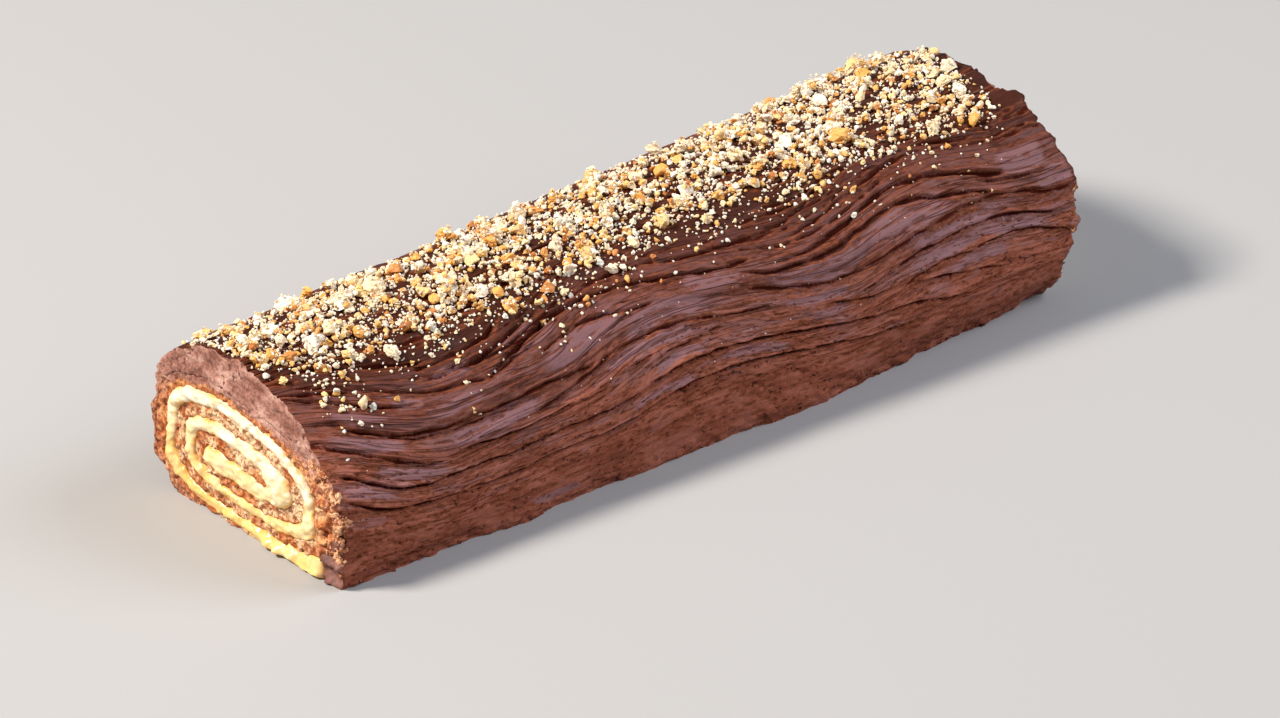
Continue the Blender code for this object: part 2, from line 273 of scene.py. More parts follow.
def noise(seed, *axes):
    """Smooth noise from -1 to 1 over one to three axes, with a grain of one unit."""
    axes = np.broadcast_arrays(*[np.asarray(axis, float) for axis in axes])
    cells = [np.floor(axis).astype(np.int64) for axis in axes]
    parts = [axis - cell for axis, cell in zip(axes, cells)]
    parts = [part * part * part * (part * (part * 6 - 15) + 10) for part in parts]
    total = np.zeros(axes[0].shape)
    for corner in itertools.product((0, 1), repeat=len(axes)):
        key = np.full(axes[0].shape, seed * 7919 + 17, np.uint64)
        weight = np.ones(axes[0].shape)
        for step, cell, part in zip(corner, cells, parts):
            key = key ^ (cell + step + 100000).astype(np.uint64)
            with np.errstate(over="ignore"):
                key = key * HASH_FACTOR
            key = key ^ (key >> np.uint64(29))
            weight = weight * (part if step else 1 - part)
        value = (key >> np.uint64(11)).astype(float) / float(1 << 53)
        total += weight * (value * 2 - 1)
    return total


def layered(seed, across, height, *layers):
    """Layers of noise added up: each is an amount, a step of the seed, and its grain both ways."""
    return sum(amount * noise(seed + step, across / wide, height / tall)
               for amount, step, wide, tall in layers)


def left_of(points):
    """Unit vectors to the left of a line at its points."""
    along = np.gradient(points, axis=0)
    along /= np.linalg.norm(along, axis=1)[:, None]
    return np.column_stack((-along[:, 1], along[:, 0]))


# ---- outline

def side_profile(x, side):
    """One side of the section at x, from the ridge to the foot: side is 1 for the front."""
    share = x / LENGTH + 0.5
    core = between(CORE_ACROSS, share)
    base = between(CORE_HEIGHT, share)
    if side > 0:
        reach = between(FRONT_REACH, share) - core
        power = between(FRONT_SHOULDER, share)
        tuck = FRONT_TUCK + FAR_TUCK * ease(FAR_TUCK_START, END, x)
        tuck -= sum(size * bump(x, place, half) for place, size, half in FOOT_BULGES)
        tuck += FAR_CORNER * ease(END - 16, END, x)
        tuck_power = TUCK_POWER
    else:
        reach = core - between(BACK_REACH, share)
        power = between(BACK_SHOULDER, share)
        tuck = between(BACK_TUCK, share) + 0.9 * float(noise(43, x / 17))
        tuck += NEAR_BACK_TUCK * ease(NEAR_BACK_TUCK_START, -END, x)
        tuck_power = BACK_TUCK_POWER
    angle = np.linspace(math.pi / 2, 0, OUTLINE_SAMPLES)
    cos, sin = np.cos(angle), np.sin(angle)
    radius = (np.abs(cos) ** power + np.abs(sin) ** power) ** (-1 / power)
    down = np.linspace(0, 1, OUTLINE_SAMPLES)[1:]
    across = np.concatenate((radius * cos * reach, reach - tuck * down ** tuck_power))
    rise = between(TOP_HEIGHT, share) - base
    height = np.concatenate((base + radius * sin * rise, base * (1 - down)))
    return np.column_stack((core + side * across, height))


def comb_drop(x, line, side):
    """How far the comb has swung down the side at x."""
    if side < 0:
        x = BACK_COMB_SHIFT - x
    total = 0
    for high, low, length, drops in COMB_SWINGS:
        middle = high + (low - high) * np.minimum(line / SWING_LINE, 1)
        drop = np.interp(line, COMB_LEVELS, drops)
        total = total + drop * (ease(middle - length / 2, middle + length / 2, x) - 0.5)
    return total


def comb_distance(x, lines, side, foot):
    """Distance from the ridge of each comb line at x, down to the foot."""
    combed = lines + comb_drop(x, lines, side)
    last = LAST_COMBED + comb_drop(x, np.array(LAST_COMBED), side)
    share = (lines - LAST_COMBED) / (FOOT_LINE - LAST_COMBED)
    return np.where(lines <= LAST_COMBED, combed, last + share * (foot - last))


# ---- relief of the frosting

def stroke_relief(x, line, strokes, seed):
    """Depth of a set of grooves, their raised rims, and how deep each place lies in one."""
    relief, inside, rim = np.zeros((3, *x.shape))
    for number, (depth, half, *path) in enumerate(strokes):
        start, end = path[0][0], path[-1][0]
        near_it = (x[:, 0] > min(start, end) - 3) & (x[:, 0] < max(start, end) + 3)
        columns = np.where(near_it)[0]
        if len(columns) == 0:
            continue
        place = x[columns]
        level = line[columns]
        own = seed + number * 3
        stops, lines = zip(*sorted(path))
        middle = sum(np.interp(place + step, stops, lines) for step in (-2.5, 0, 2.5)) / 3
        middle = middle + 0.25 * noise(own, place / 9) + 0.25 * noise(own + 1, place / 3.6)
        gone = np.abs(place - start) * np.sign((place - start) * (end - start))
        length = abs(end - start)
        taper = ease(-2, 9, gone) * (1 - ease(length - 2.5, length + 0.5, gone))
        strength = taper * (1 + 0.45 * noise(own + 2, place / 6))
        broken = DASH_SHARE if depth < DASH_DEPTH else 0.3 * DASH_SHARE
        strength *= 1 - broken * ease(0.05, 0.45, noise(own + 2, place / 2.7 + 9))
        width = half * (1 + 0.45 * noise(own + 1, place / 5 + 40))
        off = (level - middle) / width
        groove = np.exp(-np.abs(off) ** 2.6)
        lips = 0.14 * bump(off, 1.9, 0.8) + 0.2 * bump(off, -1.8, 0.8)
        dragged = np.where(off > 0, SHELF_SHARE * np.exp(-(level - middle) / SHELF_REACH), 0)
        dragged *= np.minimum(off, 1)
        relief[columns] += depth * strength * (lips - groove - dragged)
        strength = np.clip(strength, 0, 1)
        deep = groove * strength * min(0.3 + 0.5 * depth, 1)
        if depth > DASH_DEPTH:
            deep = np.maximum(deep, GROOVE_HALO * bump(off, 1.7, 1.2) * strength)
        inside[columns] = np.maximum(inside[columns], deep)
        rim[columns] = np.maximum(rim[columns], lips * 3 * strength)
    return relief, inside, rim


def random_strokes(rng, first, last, gap, lengths, depths, halves):
    """Grooves along the comb, one after another on lines a gap apart."""
    strokes = []
    line = first
    while line < last:
        place = -END - rng.uniform(0, lengths[1])
        while place < END:
            length = rng.uniform(*lengths)
            level = line + rng.uniform(-0.5, 0.5) * gap
            slope = rng.uniform(-0.6, 0.6) * gap
            path = [(place + length * part, level + slope * part + rng.uniform(-0.3, 0.3) * gap)
                    for part in (0, 0.3, 0.7, 1)]
            strokes.append((rng.uniform(*depths), rng.uniform(*halves), *path))
            place += length * rng.uniform(0.85, 1.25)
        line += gap * rng.uniform(0.8, 1.2)
    return strokes


def frosting_relief(x, line, side):
    """Height of the combed surface over the plain outline, and its groove and grain marks."""
    def wave(seed, wide, tall, level=line):
        return noise(seed, x / wide, level / tall)

    rng = np.random.default_rng(11 if side > 0 else 12)
    top = random_strokes(rng, 2, 27, 3.4, (40, 110), (0.6, 1.4), (0.45, 0.65))
    if side > 0:
        main = [(depth, half, *zip(path[::2], path[1::2])) for depth, half, *path in FRONT_GROOVES]
        fine = random_strokes(rng, 28, 78, 2.4, (14, 50), (0.1, 0.45), (0.28, 0.42))
    else:
        main = random_strokes(rng, 29, 86, 6, (60, 150), (0.8, 1.5), (0.55, 0.75))
        fine = random_strokes(rng, 30, 86, 3, (18, 60), (0.1, 0.38), (0.45, 0.6))
    relief, inside, rim = stroke_relief(x, line, top + main, 100 if side > 0 else 500)
    more, fine_inside, fine_rim = stroke_relief(x, line, fine, 2000 if side > 0 else 4000)
    relief += more
    inside = np.maximum(inside, fine_inside)
    rim = np.maximum(rim, 0.6 * fine_rim)
    combed = 1 - 0.72 * ease(70, 78, line)
    fine_share = combed * (1 - 0.75 * ease(0.05, 0.45, wave(31 + side, 34, 9)))
    wander = line + 1.4 * wave(33, 13, 6)
    relief += 0.36 * combed * np.tanh(2.6 * wave(21 + side, 46, 4.8, wander))
    relief += 0.14 * combed * np.tanh(2.6 * wave(36 + side, 20, 2.2, wander))
    relief += 0.04 * fine_share * (wave(22 + side, 18, 1.5) + wave(23 + side, 6, 0.8))
    relief += 0.25 * wave(24 + side, 22, 14) + 0.06 * wave(25 + side, 2.6, 2)
    pits = ease(0.44, 0.7, wave(26 + side, 1.9, 0.95))
    pits = pits * (ease(40, 72, line) * ease(-0.5, 0.3, wave(27, 25, 12)))
    relief -= 0.5 * pits
    inside = np.maximum(inside, 0.55 * pits)
    grainy = ease(-0.15, 0.4, wave(29 + side, 30, 5))
    grainy = np.clip(grainy * ease(32, 50, line) + 0.7 * rim, 0, 1)
    grainy = np.maximum(grainy, 0.6 * ease(68, 80, line))
    relief += grainy * (0.16 * wave(30 + side, 2.4, 1.1) + 0.08 * wave(35 + side, 1.3, 0.7))
    relief *= 1 - 0.6 * ease(7 - END, -END, x)
    relief *= 1 - 0.5 * ease(END - 8, END, x) * ease(22, 34, line)
    far_rim = 1.1 * wave(28 + side, 30, 8.5) + 0.6 * wave(37, 9, 2.8)
    relief += ease(END - 14, END, x) * far_rim
    relief *= 1 - 0.65 * ease(84, FOOT_LINE, line)
    ragged = 0.7 * noise(38 + side, x / 7) + 0.65 * wave(40 + side, 2, 1.3)
    relief += ease(82.5, 86.5, line) * (ragged + 0.3)
    if side < 0:
        deepest = BACK_DEEPEST * (1 - 0.6 * ease(END - 10, END, np.abs(x)))
        relief = np.maximum(relief, -deepest)
    # mask of the smooth patches: the material makes them less rough and paints a reflection into their
    # colour
    sheen = np.zeros(x.shape)
    for place, level, length, width in SHEEN_PATCHES if side > 0 else ():
        patch = np.exp(-((x - place) / length) ** 4 - ((wander - level) / width) ** 4)
        sheen = np.maximum(sheen, patch)
    return relief, np.stack((inside, grainy, sheen), axis=-1)


def frosting_side(side, count):
    """One side in rows along the log: points, marks, comb lines, distances from the ridge."""
    lines = np.linspace(0, FOOT_LINE, count)
    stations = np.linspace(-END, END, STATIONS)
    x, line = np.meshgrid(stations, lines, indexing="ij")
    relief, marks = frosting_relief(x, line, side)
    if side < 0:
        front, _ = frosting_relief(x[:, :1], line[:, :1], 1)
        relief += (front - relief[:, :1]) * (1 - ease(0, 2.5, line))
    points = np.zeros((*x.shape, 3))
    distance = np.zeros(x.shape)
    for number, place in enumerate(stations):
        profile = side_profile(place, side)
        steps = np.linalg.norm(np.diff(profile, axis=0), axis=1)
        travelled = np.concatenate(((0,), np.cumsum(steps)))
        outward = side * left_of(profile)
        at = comb_distance(place, lines, side, travelled[-1])
        points[number, :, 0] = place
        for axis in (0, 1):
            lift = relief[number] * np.interp(at, travelled, outward[:, axis])
            points[number, :, axis + 1] = np.interp(at, travelled, profile[:, axis]) + lift
        distance[number] = at
    points[:, -1, 2] = 0
    points[:, -2, 2] = np.maximum(points[:, -2, 2], 0.12)
    return points, marks, line, distance


# ---- spiral

def spiral(turn, level):
    """Points in the spiral's direction at a turn, as far in as the level says."""
    angle = START_ANGLE - 2 * math.pi * turn
    cos, sin = np.cos(angle), np.sin(angle)
    core = ROLL_CORE[0] + ROLL_CORE[1] * level
    upper_front = np.interp(level, ROLL_FRONT_TURNS, ROLL_FRONT_SQUARENESS)
    power = np.where((cos > 0) & (sin > 0), upper_front, ROLL_SQUARENESS)
    front = np.interp(level, SIDE_TURNS, FRONT_SIDE) - core
    back = core - BACK_SIDE[0] - BACK_SIDE[1] * level
    up = TOP_SIDE[0] + TOP_SIDE[1] * level - ROLL_CORE_HEIGHT
    down = ROLL_CORE_HEIGHT - np.interp(level, SIDE_TURNS, BOTTOM_SIDE)
    radius = (np.abs(cos) ** power + np.abs(sin) ** power) ** (-1 / power)
    across = core + radius * cos * np.where(cos > 0, front, back)
    height = ROLL_CORE_HEIGHT + radius * sin * np.where(sin > 0, up, down)
    return np.column_stack((across, height))


def sponge_edges(start, end):
    """Outer and inner edge of the sponge between two turns: it is thin at its outer end."""
    turns = np.linspace(start, end, round(abs(end - start) * STEPS_PER_TURN) + 1)
    grown = np.minimum((turns - SPONGE_START) / TAPER_TURNS, 1)
    change = np.interp(turns, *SHARE_CHANGES) + SHARE_WANDER * noise(7, turns * 4.7)
    share = THIN_END + (FULL_SHARE - THIN_END + change) * grown
    return spiral(turns, turns), spiral(turns, np.minimum(turns + share, INNERMOST_TURN))


def shifted(points, distance):
    """A line moved sideways, outwards from a spiral that winds clockwise."""
    return points + left_of(points) * distance


def sponge_section():
    """The rolled sheet of sponge: its outer edge, and back along its inner edge."""
    outer, inner = sponge_edges(SPONGE_START, SPONGE_END)
    return np.concatenate((outer, inner[::-1]))


def cream_section():
    """The cream between the turns of sponge, filling the middle and lying out underneath."""
    sponge_outer, sponge_inner = sponge_edges(SPONGE_START, SPONGE_END)
    outer = shifted(sponge_inner, -LAYER_GAP)
    inner = shifted(sponge_edges(CREAM_START + 1, SPONGE_END)[0], LAYER_GAP)[::-1]
    onward = outer[-1] - outer[-2]
    onward *= LAYER_GAP / np.linalg.norm(onward)
    tip = (outer[-1] + onward, inner[0] + onward)
    start = sponge_outer[0, 0] + LAYER_GAP
    floor = ((CREAM_REACH, 0), (start, 0), (start, outer[0, 1]))
    return np.concatenate((outer, tip, inner, floor))


def frosting_lining():
    """Inner face of the frosting, from the front foot over the roll to the back foot."""
    over = shifted(sponge_edges(BACK_FOOT_TURN, FRONT_FOOT_TURN)[0], LAYER_GAP)[::-1]
    front_foot = ((FRONT_FOOT_START, 0), (FRONT_FOOT_START, over[0, 1] - 0.3))
    return np.concatenate((front_foot, over, ((BACK_FOOT_START, 0),)))


def divided(points, step):
    """A line with its points at most a step apart."""
    result = []
    for one, other in zip(points, points[1:]):
        count = max(1, math.ceil(np.linalg.norm(other - one) / step))
        result += [one + (other - one) * part / count for part in range(count)]
    return np.array(result + [points[-1]])


def unevenness(points, end):
    """How far the layers wander at points of a cut face: end is -1 or 1."""
    shift, width, tall = ROLL_AT_END[end]
    across = (points[:, 0] - shift) / width
    height = points[:, 1] / tall
    layers = ((0.7, 0, 6.5, 6.5), (0.38, 20, 2.2, 2.2), (0.14, 40, 0.95, 0.95))
    aside = layered(60 + end, across, height, *layers) * width
    up = layered(65 + end, across, height, *layers) * tall
    return np.column_stack((aside, up * ease(0, 2.5, height)))


def at_end(section, end):
    """A section of the roll as it is at an end, with its edges uneven."""
    shift, width, tall = ROLL_AT_END[end]
    points = np.column_stack((shift + width * section[:, 0], tall * section[:, 1]))
    points += unevenness(points, end)
    points[:, 1] = np.maximum(points[:, 1], 0)
    return points


# ---- meshes

def in_frame(points):
    """Points (x, across, height) in millimetres as places in the frame, in metres."""
    return np.column_stack((points[:, 0], MIDDLE - points[:, 1], points[:, 2])) * MM


def linked(name, data):
    """A new object in the scene."""
    item = bpy.data.objects.new(name, data)
    bpy.context.scene.collection.objects.link(item)
    return item


def new_piece(name, points, faces, materials, face_materials=None, smooth=True):
    """A mesh as an object: smooth says how it is shaded."""
    mesh = bpy.data.meshes.new(name)
    mesh.from_pydata(points.tolist(), [], faces)
    for material in materials:
        mesh.materials.append(material)
    if face_materials is not None:
        mesh.polygons.foreach_set("material_index", np.array(face_materials, np.int32))
    mesh.polygons.foreach_set("use_smooth", np.full(len(mesh.polygons), smooth))
    mesh.update()
    return linked(name, mesh)


def declare(piece, node=None):
    """The piece rides on the one body and may stand for a CAD node, whose part it hides."""
    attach(piece, "root")
    if node:
        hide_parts(node)


def add_vectors(piece, name, values):
    """A point attribute of three numbers."""
    attribute = piece.data.attributes.new(name, "FLOAT_VECTOR", "POINT")
    attribute.data.foreach_set("vector", np.asarray(values, np.float32).ravel())


def inside_polygon(points, polygon):
    """Which points lie inside a closed outline."""
    inside = np.zeros(len(points), bool)
    start = polygon
    end = np.roll(polygon, -1, axis=0)
    rise = np.where(end[:, 1] == start[:, 1], 1, end[:, 1] - start[:, 1])
    for part in np.array_split(np.arange(len(points)), max(1, len(points) // 2000)):
        px = points[part, 0][:, None]
        py = points[part, 1][:, None]
        crosses = (start[:, 1] > py) != (end[:, 1] > py)
        at = start[:, 0] + (py - start[:, 1]) * (end[:, 0] - start[:, 0]) / rise
        inside[part] = np.count_nonzero(crosses & (px < at), axis=1) % 2 == 1
    return inside


def nearest(points, targets):
    """Distance from each point to the closest of the targets."""
    tree = kdtree.KDTree(len(targets))
    for index, (across, height) in enumerate(targets):
        tree.insert((across, height, 0), index)
    tree.balance()
    return np.array([tree.find((across, height, 0))[2] for across, height in points])


def filled(outline, grain, end):
    """An outline filled evenly: points, triangles facing out of the end, and depths in."""
    low = outline.min(axis=0)
    high = outline.max(axis=0)
    grid = []
    for number, row in enumerate(np.arange(low[1], high[1], grain * math.sqrt(3) / 2)):
        columns = np.arange(low[0] + (number % 2) * grain / 2, high[0], grain)
        grid.append(np.column_stack((columns, np.full(len(columns), row))))
    grid = np.concatenate(grid)
    grid += np.random.default_rng(FILL_SEED).uniform(-0.16, 0.16, grid.shape) * grain
    grid = grid[inside_polygon(grid, outline)]
    depth = nearest(grid, outline)
    keep = depth > grain * 0.62
    points = np.concatenate((outline, grid[keep]))
    depths = np.concatenate((np.zeros(len(outline)), depth[keep]))
    loop = list(range(len(outline)))
    result = geometry.delaunay_2d_cdt([Vector(p) for p in points], [], [loop], 1, 1e-6)
    origin = np.array([ids[0] for ids in result[3]])
    triangles = origin[np.array(result[2])]
    one, other = (points[triangles[:, i]] - points[triangles[:, 0]] for i in (1, 2))
    wrong = (one[:, 0] * other[:, 1] > one[:, 1] * other[:, 0]) != (end < 0)
    triangles[wrong] = triangles[wrong][:, (0, 2, 1)]
    return points, triangles, depths


def bridge(one, other):
    """Quads between two closed loops of as many points."""
    return np.column_stack((one, np.roll(one, -1), np.roll(other, -1), other)).tolist()


# ---- cut faces

def frosting_cut(across, height, depth, end):
    """How far the cut face of the frosting stands out."""
    def rough(*layers):
        return layered(80 + end, across, height, *layers)

    out = rough((0.3, 0, 9, 4), (0.2, 2, 2.6, 1.8))
    pores = ease(0.42, 0.7, rough((1, 4, 1.5, 1.5)))
    out = out - 0.55 * pores * ease(60, 50, height + 6 * noise(85 + end, across / 7))
    out = out + ease(41, 34, height) * (rough((0.6, 6, 1.7, 1.7)) - 0.2)
    torn = ease(29, 35, across) * ease(40, 32, height)
    out = out + torn * (rough((1.8, 8, 2.6, 2.6), (0.5, 9, 1.1, 1.1)) + 0.1)
    if end > 0:
        worn = FAR_WEAR * ease(38, 15, height) * ease(10, 30, across)
        out = out - worn * bump(depth, 0, 2.6)
    return out * ease(0, 1.2, depth) - 0.12 * ease(1, 0, depth)


def sponge_cut(across, height, depth, skin, end):
    """How far the crumb stands out: next to the frosting it is smeared with it."""
    def rough(*layers):
        return layered(90 + end, across, height, *layers)

    out = rough((0.45, 0, 4.5, 4.5), (0.32, 2, 1.6, 1.6), (0.2, 4, 0.85, 0.85))
    out = out - 0.8 * ease(0.35, 0.75, rough((1, 6, 1.9, 1.9))) - 0.15
    torn = ease(32, 39, across) * ease(42, 34, height)
    out = out + torn * (rough((2, 10, 2.4, 2.4)) + 0.3)
    coated = ease(3.4, 1.2, skin + rough((0.9, 8, 3, 3)))
    return out + coated * (frosting_cut(across, height, 9, end) - out)


def cream_cut(across, height, depth, skin, end):
    """How far the cream stands out: it bulges, and oozes out low down."""
    def rough(*layers):
        return layered(110 + end, across, height, *layers)

    out = 1.05 * (1 - np.exp(-depth / 1.1)) + rough((0.6, 0, 5, 3)) * ease(0, 1.5, depth)
    out = out + rough((0.34, 2, 1.9, 1.5), (0.12, 4, 0.9, 0.9))
    if end < 0:
        out = out + 1.5 * bump(across, 17.5, 4) * bump(height, 21, 5.5)
    oozing = ease(5.5, 1, height) * ease(2, 12, across)
    lumps = 1.3 + rough((1.3, 6, 3.2, 2.6))
    return out + lumps * oozing * ease(0, 1.6, depth) - 0.1


def cut_layer(name, section, cut, grain, material):
    """One layer of the roll, from cut face to cut face."""
    section = divided(np.concatenate((section, section[:1])), grain * 1.3)[:-1]
    lining = divided(frosting_lining(), 0.8)
    points, faces, marks, loops = [], [], [], []
    count = 0
    for end in (-1, 1):
        flat, triangles, depths = filled(at_end(section, end), grain, end)
        skin = nearest(flat, at_end(lining, end))
        out = cut(flat[:, 0], flat[:, 1], depths, skin, end)
        points.append(np.column_stack((end * (END + out), flat)))
        marks.append(np.column_stack((np.minimum(skin, 9), np.zeros(len(flat)), depths)))
        faces += (count + triangles).tolist()
        loops.append(count + np.arange(len(section)))
        count += len(flat)
    faces += bridge(*loops)
    piece = new_piece(name, in_frame(np.concatenate(points)), faces, [material])
    add_vectors(piece, "section", np.concatenate(marks))
    return piece


def kept_outside(points, lining):
    """Points of the outline, moved out where the coat over the lining is too thin."""
    outward = -left_of(lining)
    apart = points[:, None] - lining
    closest = np.argmin(np.sum(apart ** 2, axis=2), axis=1)
    offset = apart[np.arange(len(points)), closest]
    outside = np.sum(offset * outward[closest], axis=1)
    short = np.maximum(THINNEST_COAT - outside, 0) * (np.linalg.norm(offset, axis=1) < 4)
    short *= ease(0, 1.5, points[:, 1])
    return points + outward[closest] * short[:, None]


def build_frosting(combed, cut):
    """The coat: combed outside, two cut ends, and the lining over the roll."""
    back = frosting_side(-1, BACK_LINES)
    front = frosting_side(1, FRONT_LINES)
    grid, marks, line, distance = (
        np.concatenate((sign * one[:, :0:-1], other), axis=1)
        for sign, one, other in zip((1, 1, -1, -1), back, front))
    columns = grid.shape[1]
    near_ends = [(row, 1 if x > 0 else -1, ease(END - CUT_REACH, END, abs(x)))
                 for row, x in enumerate(grid[:, 0, 0]) if abs(x) > END - CUT_REACH]
    for row, end, share in near_ends:
        grid[row, :, 1:] += share * unevenness(grid[row, :, 1:], end)
    lining = divided(frosting_lining(), SPONGE_CUT_GRAIN * 1.6)
    near, far = at_end(lining, -1), at_end(lining, 1)
    for row in range(STATIONS):
        inner = near + (far - near) * (row / (STATIONS - 1))
        grid[row, :, 1:] = kept_outside(grid[row, :, 1:], inner)
    for row, end, share in near_ends:
        chipped = 0.7 if end < 0 else 1.3
        edge = chipped * noise(71 + end, line[row] / 6) + 0.5 * chipped * noise(73 + end, line[row] / 1.9)
        edge = edge * ease(0, 2, grid[row, :, 2])
        if end > 0:
            edge = edge - FAR_WEAR * ease(50, 78, line[row])
        grid[row, :, 0] += end * edge * share
    grid[:, :, 2] = np.maximum(grid[:, :, 2], 0)
    index = np.arange(line.size).reshape(line.shape)
    faces = np.stack((index[:-1, :-1], index[:-1, 1:], index[1:, 1:], index[1:, :-1]), axis=-1)
    faces = faces.reshape(-1, 4).tolist()
    face_materials = [0] * len(faces)
    points = [grid.reshape(-1, 3)]
    count = line.size
    linings = []
    for row, end, inner in ((0, -1, near), (STATIONS - 1, 1, far)):
        outline = grid[row, :, 1:]
        flat, triangles, _ = filled(np.concatenate((outline, inner)), FROSTING_CUT_GRAIN, end)
        out = frosting_cut(flat[:, 0], flat[:, 1], nearest(flat, outline), end)
        place = np.concatenate((index[row], count + np.arange(len(flat) - columns)))
        points.append(np.column_stack((end * (END + out), flat))[columns:])
        faces += place[triangles].tolist()
        linings.append(place[columns:columns + len(inner)])
        count += len(flat) - columns
    faces += bridge(*linings)[:-1]
    face_materials += [1] * (len(faces) - len(face_materials)) + [0, 0]
    near, far = linings
    faces.append([*index[:, -1].tolist(), int(far[0]), int(near[0])])
    faces.append([int(near[-1]), int(far[-1]), *index[::-1, 0].tolist()])
    points = np.concatenate(points)
    piece = new_piece("frosting_coat", in_frame(points), faces, [combed, cut], face_materials)
    add_vectors(piece, "marks", np.concatenate((marks.reshape(-1, 3), np.zeros((count - line.size, 3)))))
    points[:line.size, 1] = line.ravel()
    points[:line.size, 2] = 0
    add_vectors(piece, "comb", points)
    return piece, grid, distance


# ---- scattered pieces

def lump_shapes(rng, count, subdivisions, cuts, grain):
    """Unit lumps with chipped sides, from sharp to mealy, and their shared faces."""
    ball = bmesh.new()
    bmesh.ops.create_icosphere(ball, subdivisions=subdivisions, radius=1)
    unit = np.array([vertex.co for vertex in ball.verts])
    faces = np.array([[vertex.index for vertex in face.verts] for face in ball.faces])
    ball.free()
    shapes = []
    for number in range(count):
        def rough(seed, size):
            return noise(seed, *(unit * size + number * 7.3).T)

        points = unit * (1, rng.uniform(0.62, 0.95), rng.uniform(0.48, 0.8))
        for _ in range(cuts):
            direction = rng.normal(size=3)
            direction /= np.linalg.norm(direction)
            over = points @ direction - rng.uniform(0.3, 0.62)
            points = points - np.maximum(over, 0)[:, None] * direction
        relief = rough(300 + number, 1.9) + 0.5 * rough(400, 4.1)
        relief += 1.1 * (0.25 - np.abs(rough(420, 2.9)))
        mealy = grain * (0.45 + 0.85 * (number % 3) / 2)
        shapes.append(points * (1 + mealy * relief)[:, None])
    return shapes, faces


class Surface:
    """The coat's surface, by place along the log and distance from the ridge."""

    def __init__(self, grid, distance):
        self.grid = grid
        self.distance = distance
        self.columns = np.arange(grid.shape[1])
        self.pile = np.zeros((round(LENGTH / PILE_CELL) + 1, round(2 * PILE_WIDE / PILE_CELL) + 1))

    def point(self, x, away):
        """The point there, in x, across and height."""
        row = min(max((x + END) / LENGTH * (STATIONS - 1), 0), STATIONS - 1.001)
        low = int(row)
        found = []
        for index in (low, low + 1):
            column = np.interp(away, self.distance[index], self.columns)
            left = min(int(column), len(self.columns) - 2)
            part = column - left
            found.append(self.grid[index, left] * (1 - part) + self.grid[index, left + 1] * part)
        return found[0] + (found[1] - found[0]) * (row - low)

    def frame(self, x, away):
        """The point there, and the directions along, down and out of the surface."""
        middle = self.point(x, away)
        along = self.point(x + 1.5, away) - self.point(x - 1.5, away)
        down = self.point(x, away + 1.5) - self.point(x, away - 1.5)
        along /= np.linalg.norm(along)
        out = np.cross(down, along)
        out /= np.linalg.norm(out)
        if out[2] < 0 and abs(away) < 40:
            out = -out
        return middle, along, np.cross(out, along), out

    def stack(self, x, away, reach, thick):
        """How high a piece lies on those already there, which it then adds to."""
        column = round((x + END) / PILE_CELL)
        row = round((away + PILE_WIDE) / PILE_CELL)
        span = max(1, round(reach / PILE_CELL))
        window = self.pile[column - span:column + span + 1, row - span:row + span + 1]
        if window.size < (2 * span + 1) ** 2:
            return 0
        step = np.arange(-span, span + 1) / span
        dome = np.sqrt(np.maximum(1 - step[:, None] ** 2 - step ** 2, 0))
        rest = float(np.sum(window * dome) / np.sum(dome))
        np.maximum(window, (rest + thick * dome) * (dome > 0), out=window)
        return rest


def turned(rng, along, across, out, tilt):
    """A random turn about out, with a little tilt, as three columns."""
    spin = rng.uniform(0, 2 * math.pi)
    one = along * math.cos(spin) + across * math.sin(spin)
    up = out + tilt * rng.normal() * along + tilt * rng.normal() * across
    up /= np.linalg.norm(up)
    two = np.cross(up, one)
    two /= np.linalg.norm(two)
    return np.column_stack((np.cross(two, up), two, up))


def joined_lumps(name, shapes, faces, lumps, material):
    """One mesh of many lumps: each is a shape, a middle, a turn, a size and a tint."""
    count = len(shapes[0])
    points = np.concatenate([middle + (shapes[shape] * size) @ turn.T
                             for shape, middle, turn, size, _ in lumps])
    every = (faces[None] + np.arange(len(lumps))[:, None, None] * count).reshape(-1, 3)
    every = every[:, ::-1]           # across runs against Y, which turns a lump inside out
    points = in_frame(points)
    points[:, 2] = np.maximum(points[:, 2], 0)
    piece = new_piece(name, points, every.tolist(), [material], smooth=False)
    add_vectors(piece, "tint", np.repeat([lump[4] for lump in lumps], count, axis=0))
    return piece


def scattered_places(rng, count, spread, clumps):
    """Places on the top of the log, as thick as the spread says at each distance down."""
    away_stops, share_stops = zip(*spread)
    places = []
    while len(places) < count:
        x = rng.uniform(1.5 - END, END - 2.5, PLACES_AT_ONCE)
        away = rng.uniform(away_stops[0], away_stops[-1], PLACES_AT_ONCE)
        widen = np.where(away < 0, 8, 3.5) * ease(60, 120, x) + 3 * noise(501, x / 21)
        share = np.interp(away - np.sign(away) * widen, away_stops, share_stops)
        share *= 1 - clumps + clumps * noise(500, x / 8, away / 6)
        share *= ease(END - 1, END - 10, x + 0.25 * np.maximum(away, 0))
        share *= 1 - ease(14, 5, x + END) * ease(2, 12, away)
        kept = rng.uniform(0, 1, PLACES_AT_ONCE) < share
        places += list(zip(x[kept], away[kept]))
    return places[:count]


def strewn(rng, surface, places, sizes, bias, shapes, tilt, sink):
    """Lumps at places on the surface, lying on each other where they meet."""
    lumps = []
    for x, away in places:
        size = sizes[0] + (sizes[1] - sizes[0]) * rng.uniform() ** bias
        middle, along, across, out = surface.frame(x, away)
        rest = surface.stack(x, away, size * 0.42, size * LUMP_THICKNESS)
        lift = rest * LUMP_SETTLE + size * (0.5 * LUMP_THICKNESS - sink)
        turn = turned(rng, along, across, out, tilt)
        tint = (rng.uniform(), rng.uniform(), 0)
        lumps.append((rng.integers(len(shapes)), middle + out * lift, turn, size / 2, tint))
    return lumps


